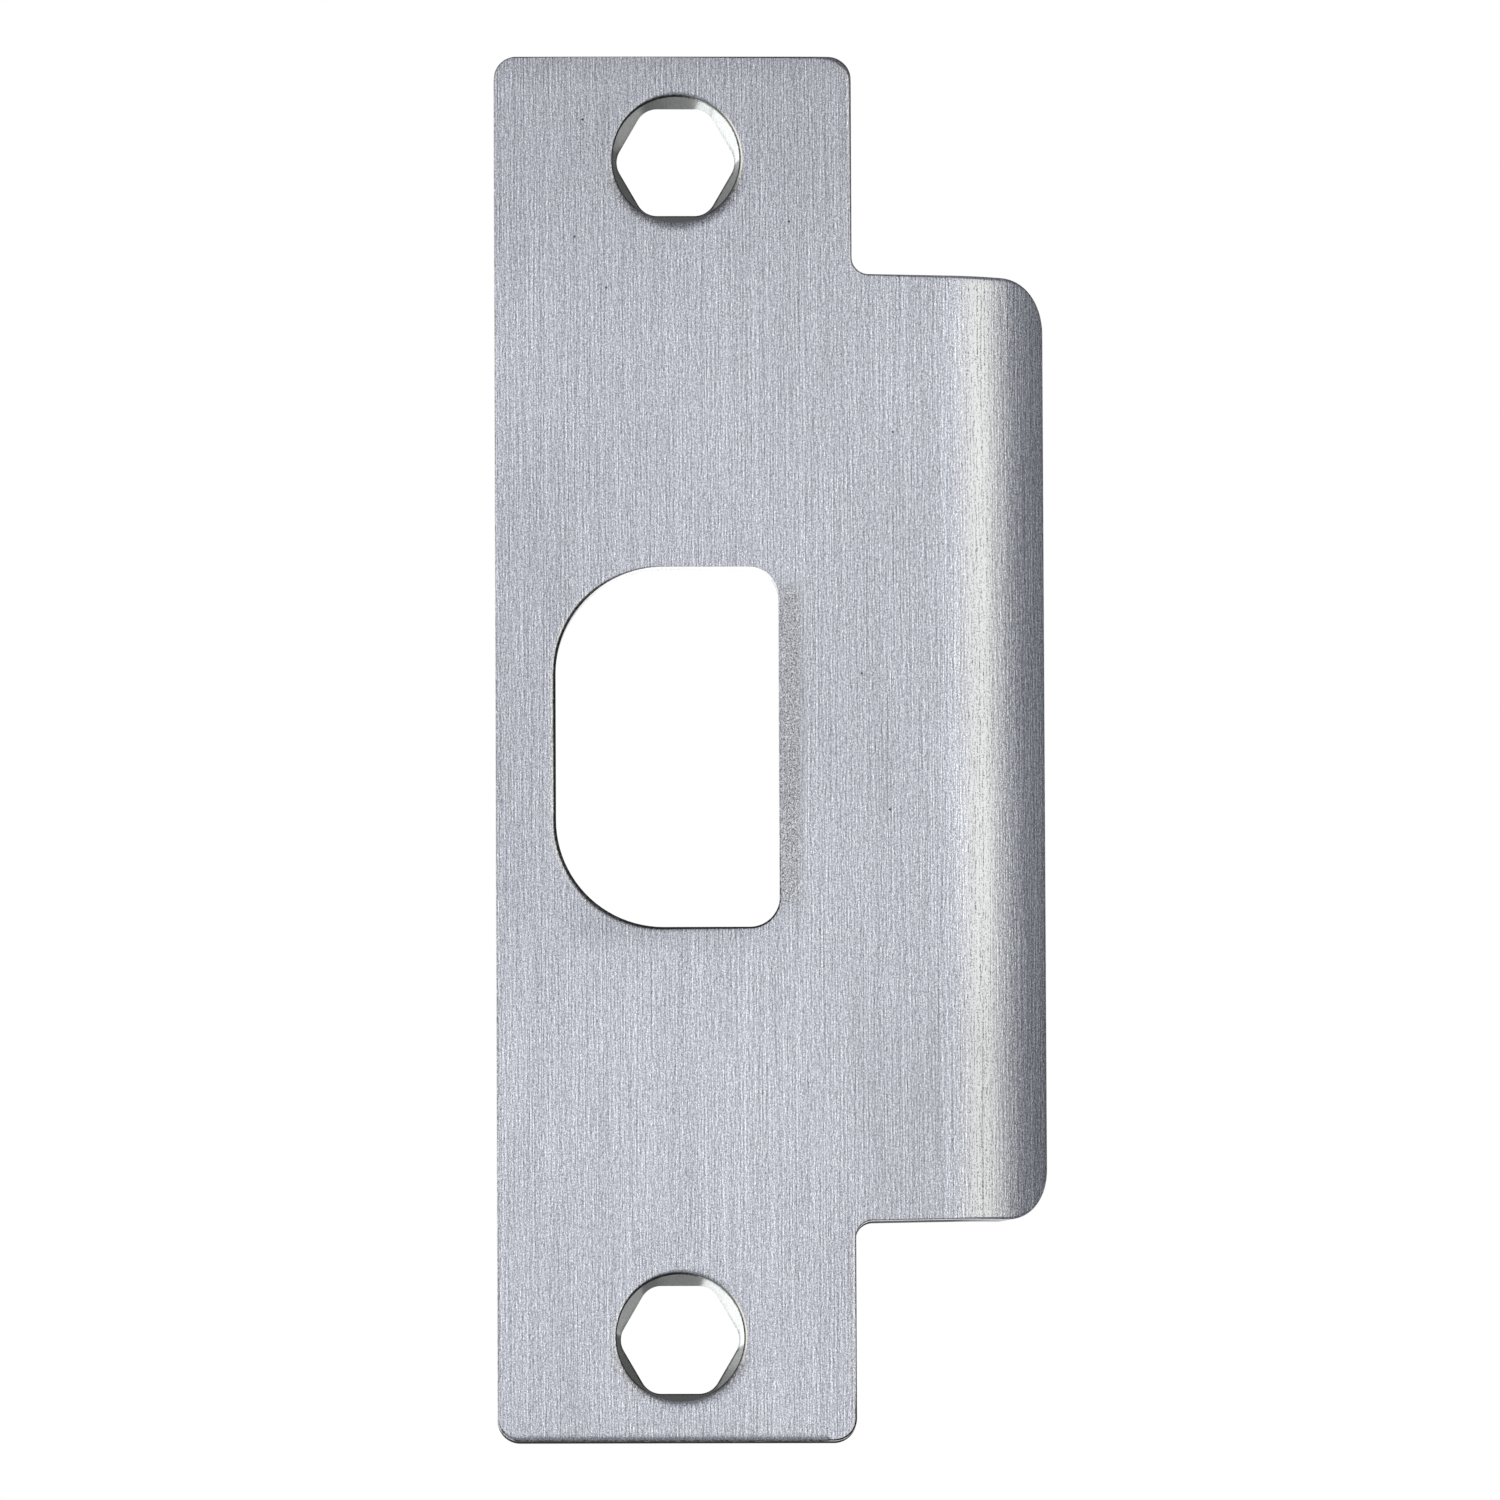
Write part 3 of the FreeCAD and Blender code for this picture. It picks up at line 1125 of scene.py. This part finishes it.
@dataclass(frozen=True)
class BrushedSteel:
    """Finish of the plate: brushed along its long side, punched edges and pressed flats.

    Attributes:
        plate: the plate, for the places of its wear.
        face: colour of the brushed faces.
        burnished: colour of the smooth part of the edges, next to the roll, and of the painted
            highlight on the right of each screw hole's roll.
        torn: near-black colour of the torn part of the edges, darker than torn steel as painted
            shade, and of the painted shade lines along them.
        flats: colour of the screw holes' pressed sides.
        grain_depth: how strongly the brush marks lighten and darken the face.
        front_depth: depths between which the front's wear fades out.
        burnish_depth: depth at which the smooth part of an edge ends.
        scuff_width: width of the strip beside the latch opening that the latch rubbed.
        scuff_height: height of that strip.
        scratch_across: across of the long scratch on the fold.
        scratch_top: up at which it starts, above the lip's bottom edge.
        pits: across and up of the small dark pits in the face.
        foot_up: up of the painted shade strip under the latch opening.
        foot_across: across of that strip.
        fold: across of the bright strip where the fold starts.
        highlight_band: across of the strip along the fold's ridge where the highlight is painted
            flat, with the marks' bright side and most of their relief taken out.
        low_painted_light, fold_light: how much lighter the lower flat is, as painted light, and the
            fold's start.
        top_painted_shade, side_painted_shade, foot_painted_shade: painted shade, how much darker
        the
            top is, the strip at the left of the latch opening, and the strip under it.
        scuff_dull, scratch_dull, pit_dull: how much darker the rubbed strip, the scratch and
            the pits are.
        mottle: strength of the slow, random change of lightness.
        drag: strength of the punch's drag marks on the edges and flats.
        face_rough, cut_rough, flats_rough: roughness of the face, the edges and the flats.
        relief: height of the brush marks.
    """

    plate: StrikePlate
    face: Colour = (0.455, 0.475, 0.547)
    burnished: Colour = (0.60, 0.605, 0.615)
    torn: tuple[float, float, float, float] = (0.022, 0.022, 0.022, 1.0)
    flats: Colour = (0.325, 0.34, 0.335)
    grain_depth: float = 0.37
    front_depth: tuple[float, float] = (0.5, 0.9)
    burnish_depth: float = 0.5
    scuff_width: float = 2.7
    scuff_height: float = 29.0
    scratch_across: float = 26.72
    scratch_top: float = -22.0
    pits: tuple[tuple[float, float], ...] = (
        (19.06, 27.98), (9.97, 46.78), (18.65, -5.63), (16.23, 6.47), (-8.26, 55.92),
        (-9.01, 45.44), (-6.2, 40.89))
    foot_up: Band = (-18.8, -16.0, -16.0, -11.0)
    foot_across: Band = (-11.0, -8.0, 5.0, 8.5)
    fold: Band = (23.0, 23.4, 24.8, 26.2)
    highlight_band: Band = (25.3, 25.8, 27.2, 28.2)
    low_painted_light: float = 0.1
    fold_light: float = 0.09
    top_painted_shade: float = 0.17
    side_painted_shade: float = 0.05
    foot_painted_shade: float = 0.16
    scuff_dull: float = 0.18
    scratch_dull: float = 0.4
    pit_dull: float = 0.85
    mottle: float = 0.02
    drag: float = 0.12
    face_rough: float = 0.27
    cut_rough: float = 0.25
    flats_rough: float = 0.2
    relief: float = 0.003 * MM

    def grain(self, shader: SkinShader) -> Wire:
        """Brush marks: long streaks and bands, from noise stretched along up."""
        bands = shader.noise((1.6, 0.05, 1.6))
        return shader.furrows((8.0, 0.08, 8.0), 3.0) * 0.45 + bands * 0.1

    def flecks(self, shader: SkinShader) -> Wire:
        """Short brush marks and specks, which are also rough to the touch."""
        specks = shader.noise((10.5, 7.5, 10.5), 1.0)
        return shader.furrows((8.5, 1.1, 8.5), 2.0) * 0.45 + specks * 0.75

    def scuffed(self, shader: SkinShader) -> Wire:
        """Share of the strip beside the latch opening that the latch has rubbed.

        Args:
            shader: the material's nodes.

        Returns:
            The share, 0 to 1.
        """
        start = (self.plate.edge + self.plate.latch_to_edge + self.plate.latch_width) / MM
        width, height = self.scuff_width, self.scuff_height
        beside = shader.band(
            shader.across, (start - 0.5, start - 0.2, start + 0.5 * width, start + width))
        return beside * (1.0 - shader.rise(abs(shader.up), 0.45 * height, 0.55 * height))

    def pitted(self, shader: SkinShader) -> Wire:
        """Share of the face's small pits, each about a tenth of a millimetre in radius.

        Args:
            shader: the material's nodes.

        Returns:
            The share, 0 to 1.
        """
        flat = shader.scaled(shader.place, (1.0, 1.0, 0.0))
        nearest = None
        for across, up in self.pits:
            away = shader.node(
                "ShaderNodeVectorMath", {"operation": "DISTANCE"},
                {0: flat, 1: (across, up, 0.0)}, "Value")
            nearest = away if nearest is None else shader.math("MINIMUM", nearest, away)
        return 1.0 - shader.rise(nearest, 0.07, 0.14)

    def scratched(self, shader: SkinShader) -> Wire:
        """Share of the long scratch on the fold."""
        line = 1.0 - shader.rise(abs(shader.across - self.scratch_across), 0.02, 0.07)
        return line * (1.0 - shader.rise(shader.up, self.scratch_top - 6.0, self.scratch_top))

    def mottle_and_painted_shading(self, shader: SkinShader) -> Wire:
        """Slow change of lightness: random mottle, painted shade at the top, left of the latch
        opening and under it, painted light low down on the flat, and a brighter strip where the
        fold starts.

        Args:
            shader: the material's nodes.

        Returns:
            A share about 0, by which the face is lighter or darker.
        """
        across, up, rise = shader.across, shader.up, shader.rise
        top = rise(up, 30.0, 62.0) + 0.5 * rise(up, 58.5, 61.5)
        low = rise(up, -2.0, -30.0) * (1.0 - 0.7 * rise(up, -34.0, -56.0))
        low = low * (1.0 - 1.6 * rise(across, 8.0, 24.0))
        side = (1.0 - rise(across, -11.0, -8.0)) * (1.0 - rise(abs(up), 14.0, 34.0))
        foot = shader.band(up, self.foot_up) * shader.band(across, self.foot_across)
        mottle = shader.noise((0.09, 0.05, 0.09))
        # Painted light on the lower flat, and painted shade at the top, beside the latch opening
        # and under it.
        light = self.low_painted_light * low + self.fold_light * shader.band(across, self.fold)
        painted_dimming = self.top_painted_shade * top + self.side_painted_shade * side + self.foot_painted_shade * foot
        return light + self.mottle * mottle - painted_dimming

    def material(self) -> bpy.types.Material:
        """Builds the material.

        Returns:
            The material.
        """
        made = bpy.data.materials.new("brushed_stainless")
        shader = SkinShader(made)
        cut, torn, pressed, dark = (
            shader.attribute(finish.value, "Fac") for finish in Finish)

        front = 1.0 - shader.rise(shader.depth, *self.front_depth)
        scuff = self.scuffed(shader) * front
        unrubbed = 1.0 - 0.6 * scuff
        rubbed = shader.noise((10.0, 8.0, 10.0), 2.0, 0.7)
        flecks = self.flecks(shader) * unrubbed + rubbed * scuff * 1.4
        grain = self.grain(shader) * unrubbed

        drag = shader.noise((9.0, 9.0, 0.7), 2.0, 0.6)
        breaks = shader.noise((4.0, 4.0, 4.0), 2.0, 0.7)
        burnish_end = self.burnish_depth + 0.06 * shader.noise((1.5, 1.5, 0.0))
        tearing = shader.rise(shader.depth - burnish_end, -0.06, 0.06)

        # On the fold the brush marks are painted fainter where the highlight starts and stronger
        # past the ridge, as painted glints of the marks in the key light.
        glint_contrast = (1.0 - 0.3 * shader.rise(shader.across, 24.5, 26.0)
                  + 0.65 * shader.rise(shader.across, 27.0, 30.0))
        highlight_band = shader.band(shader.across, self.highlight_band)
        marks = (grain + flecks) * glint_contrast * (0.5 * self.grain_depth)
        # Along the ridge the marks' bright side is cut off and the whole lifted, a painted flat
        # highlight with dark flecks left in it.
        highlight_marks = shader.math("MINIMUM", marks, 0.0) * 2.3 + 0.07
        marks = 1.0 + marks + (highlight_marks - marks) * highlight_band
        lightness = (1.0 + self.mottle_and_painted_shading(shader) * front) * marks * marks
        lightness = lightness - self.scuff_dull * scuff
        lightness = lightness - self.scratch_dull * self.scratched(shader) * front
        lightness = lightness * (1.0 - self.pit_dull * self.pitted(shader) * front)
        face = shader.shade(self.face, lightness)
        wall, funnel = (
            shader.shade(colour, 1.0 + self.drag * drag) for colour in (self.burnished, self.flats))
        colour = shader.blend(pressed, shader.blend(cut, face, wall), funnel)

        rough = (self.face_rough + 0.1 * scuff) * (1.0 - cut) + self.cut_rough * cut
        rough = rough * (1.0 - pressed) + self.flats_rough * pressed
        brushed = (1.0 - cut) * (1.0 - pressed) * (1.0 - 0.7 * highlight_band)
        relief = flecks * brushed + drag * (pressed * 0.2 + cut * 0.3)
        bump = shader.node("ShaderNodeBump", sockets={
            "Strength": 1.0, "Distance": self.relief, "Height": relief})
        steel = shader.node("ShaderNodeBsdfPrincipled", sockets={
            "Base Color": colour, "Metallic": 1.0, "Roughness": rough, "Anisotropic": 0.35,
            "Normal": bump})
        # The near-black matte stands for the torn metal and, darker than that, for painted shade;
        # it also carries the painted shade lines and strips.
        torn_and_shade_matte = shader.node("ShaderNodeBsdfPrincipled", sockets={
            "Base Color": self.torn, "Roughness": 0.9, "Specular IOR Level": 0.1})
        dark = dark * (1.0 + breaks * (0.8 - 0.7 * dark))
        share = shader.math("MAXIMUM", torn * tearing, dark)
        both = shader.node("ShaderNodeMixShader", sockets={0: share, 1: steel, 2: torn_and_shade_matte})
        shader.node("ShaderNodeOutputMaterial", sockets={"Surface": both})
        return made


def towards(bearing: float, climb: float) -> Vector:
    """Direction at an angle from the front, turned towards the lip, and one above the level.

    Args:
        bearing: the first angle, in degrees.
        climb: the second angle, in degrees.

    Returns:
        The unit direction.
    """
    bearing, climb = math.radians(bearing), math.radians(climb)
    level = Vector((math.sin(bearing), -math.cos(bearing), 0.0))
    return level * math.cos(climb) + Vector((0.0, 0.0, math.sin(climb)))


def stage_panel(name: str, place: Matrix, width: float, height: float, surface: str,
                sockets: dict[str, object]) -> bpy.types.Object:
    """Flat four-cornered stage object with a plain material.

    Args:
        name: name of the object and its material.
        place: where its middle lies and how it is turned; it faces its own Z.
        width: its width along its own X.
        height: its height along its own Y.
        surface: type of the material's one shader.
        sockets: values of that shader's inputs.

    Returns:
        The object.
    """
    corners = [(-1, -1), (1, -1), (1, 1), (-1, 1)]
    mesh = bpy.data.meshes.new(name)
    mesh.from_pydata([place @ Vector((x * width / 2, y * height / 2, 0)) for x, y in corners],
                     [], [(0, 1, 2, 3)])
    made = bpy.data.materials.new(name)
    shader = Shader(made)
    shader.node("ShaderNodeOutputMaterial", sockets={
        "Surface": shader.node(surface, sockets=sockets)})
    mesh.materials.append(made)
    panel = new_object(mesh)
    return panel


@dataclass(frozen=True)
class Card:
    """Card or diffuser round the plate that only the metal's reflections see.

    Attributes:
        name: name of the card.
        bearing: angle from the front, turned towards the lip, in degrees.
        climb: angle above the level, in degrees.
        distance: distance from the plate's middle, which the card faces.
        width: its width.
        height: its height.
        light: brightness, where 1 is the white background's.
        colour: tint of its light.
    """

    name: str
    bearing: float
    climb: float
    distance: float
    width: float
    height: float
    light: float
    colour: tuple[float, float, float, float] = (1.0, 1.0, 1.0, 1.0)

    def build(self) -> None:
        """Makes the card as a stage object, turned to face the plate."""
        away = towards(self.bearing, self.climb)
        turn = (-away).to_track_quat("Z", "Y").to_matrix().to_4x4()
        card = stage_panel(
            self.name, Matrix.Translation(away * self.distance) @ turn, self.width, self.height,
            "ShaderNodeEmission", {"Color": self.colour, "Strength": self.light})
        card.active_material.cycles.emission_sampling = "NONE"
        for ray in ("camera", "diffuse", "transmission", "volume_scatter", "shadow"):
            setattr(card, f"visible_{ray}", False)


@dataclass
class Studio:
    """Room that the plate is photographed in: pale floor, white surround, lamp and cards.

    Attributes:
        floor_drop: how far the floor lies below the plate's middle.
        floor_size: width of the floor.
        ambient: strength of the surround's fill light.
        lamp_place: where the lamp stands.
        lamp_size: diameter of the lamp.
        lamp_power: power of the lamp in watts.
    """

    floor_drop: float = 0.45
    floor_size: float = 8.0
    ambient: float = 0.55
    lamp_place: tuple[float, float, float] = (-0.7, -1.0, 1.6)
    lamp_size: float = 0.9
    lamp_power: float = 6.0

    def world(self) -> None:
        """White surround for what is seen directly, mirrored or through, and softer fill."""
        world = bpy.data.worlds.new("white_surround")
        bpy.context.scene.world = world
        shader = Shader(world)
        path = shader.node("ShaderNodeLightPath", output="Is Camera Ray")
        outputs = path.socket.node.outputs
        seen = path
        for name in ("Is Glossy Ray", "Is Transmission Ray"):
            seen = shader.math("MAXIMUM", seen, Wire(shader, outputs[name]))
        light = shader.node("ShaderNodeBackground", sockets={
            "Color": (1, 1, 1, 1), "Strength": seen * (1.0 - self.ambient) + self.ambient})
        shader.node("ShaderNodeOutputWorld", sockets={"Surface": light})

    def floor(self) -> None:
        """Plain pale floor below the plate."""
        stage_panel("floor", Matrix.Translation((0, 0, -self.floor_drop)), self.floor_size,
                    self.floor_size, "ShaderNodeBsdfPrincipled",
                    {"Base Color": (0.86, 0.86, 0.86, 1.0), "Roughness": 0.8})

    def lamp(self) -> None:
        """Soft lamp above the front, which throws the plate's shadow on the floor."""
        data = bpy.data.lights.new("soft_lamp", "AREA")
        data.shape = "DISK"
        data.size = self.lamp_size
        data.energy = self.lamp_power
        lamp = new_object(data)
        lamp.location = self.lamp_place
        lamp.rotation_euler = (-lamp.location).to_track_quat("-Z", "Y").to_euler()
        lamp.visible_glossy = False

    def cards(self) -> None:
        """Cards that shape the reflections in the metal."""
        warm = (1.0, 0.96, 0.82, 1.0)
        for card in (
            Card("key_diffuser", 29.4, 3, 1.15, 0.57, 1.0, 1.85, warm),
            Card("left_diffuser", -40, 3, 1.1, 0.7, 1.0, 1.7, warm),
            Card("mid_card_right", 51, 0, 0.95, 0.2, 1.6, 0.6),
            Card("grey_card_right", 78, 0, 0.8, 0.6, 1.6, 0.36),
            Card("dark_card_right", 107.5, 0, 0.9, 0.35, 1.6, 0.08),
            Card("grey_card_top", 0, 74, 0.65, 1.6, 1.4, 0.38),
            Card("grey_card_low", 0, -80, 0.4, 1.2, 0.6, 0.45),
            Card("dark_card_behind", 166, 42, 0.9, 1.55, 0.85, 0.2),
            Card("dark_card_beside", 136, 10, 0.8, 0.36, 0.36, 0.2),
            Card("grey_card_beside", -142, 31, 0.85, 0.2, 0.24, 0.5),
            Card("bright_card_behind", -131, -8, 0.8, 0.45, 0.62, 2.9),
            Card("bright_card_below", -138, -44, 0.5, 0.27, 0.26, 2.6),
            Card("pale_card_behind", 127, -19, 0.85, 0.42, 0.36, 0.78),
            Card("dark_card_below", 147, -46, 0.5, 0.26, 0.2, 0.35),
            Card("white_card_behind", 180, -8, 0.8, 0.5, 0.2, 1.6),
        ):
            card.build()


@dataclass
class Camera:
    """Camera of the picture, from a pinhole fitted to it.

    Attributes:
        front: Y of the brushed face.
        target_across: across of the point of that face at the picture's middle.
        target_up: up of that point.
        distance: distance from the camera to the target.
        aside: angle by which the view turns towards the lip, in degrees.
        climb: angle by which the view looks up, in degrees.
        roll: angle by which the picture's content leans anticlockwise, in degrees.
        scale: pixels for each metre at the target.
        frame_pixels: width of the picture in pixels.
    """

    front: float
    target_across: float = 6.325 * MM
    target_up: float = -0.335 * MM
    distance: float = 2.362
    aside: float = 1.285
    climb: float = 7.2092
    roll: float = 0.2461
    scale: float = 11335.6
    frame_pixels: float = 1500.0

    def build(self) -> None:
        """Makes the scene's camera."""
        data = bpy.data.cameras.new("camera")
        data.lens = data.sensor_width * self.scale * self.distance / self.frame_pixels
        target = Vector((self.target_across, self.front, self.target_up))
        view = towards(180.0 - self.aside, self.climb)
        level = towards(90.0 - self.aside, 0.0)
        rise = level.cross(view)
        roll = math.radians(self.roll)
        right = math.cos(roll) * level - math.sin(roll) * rise
        above = math.sin(roll) * level + math.cos(roll) * rise
        turn = Matrix((right, above, -view)).transposed().to_4x4()
        camera = new_object(data)
        camera.matrix_world = Matrix.Translation(target - self.distance * view) @ turn
        bpy.context.scene.camera = camera


def main() -> None:
    """Builds the camera, the studio and the plate."""
    logging.basicConfig(level=logging.INFO, format="%(name)s: %(message)s")
    low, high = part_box(NODE)
    Camera(low.y).build()
    studio = Studio()
    studio.world()
    studio.floor()
    studio.lamp()
    studio.cards()
    piece = StrikePlate(low, high).build()
    log.info("%s has %d triangles", piece.name, len(piece.data.polygons))
    bpy.context.scene.view_settings.view_transform = "Standard"


if __name__ == "__main__":
    main()
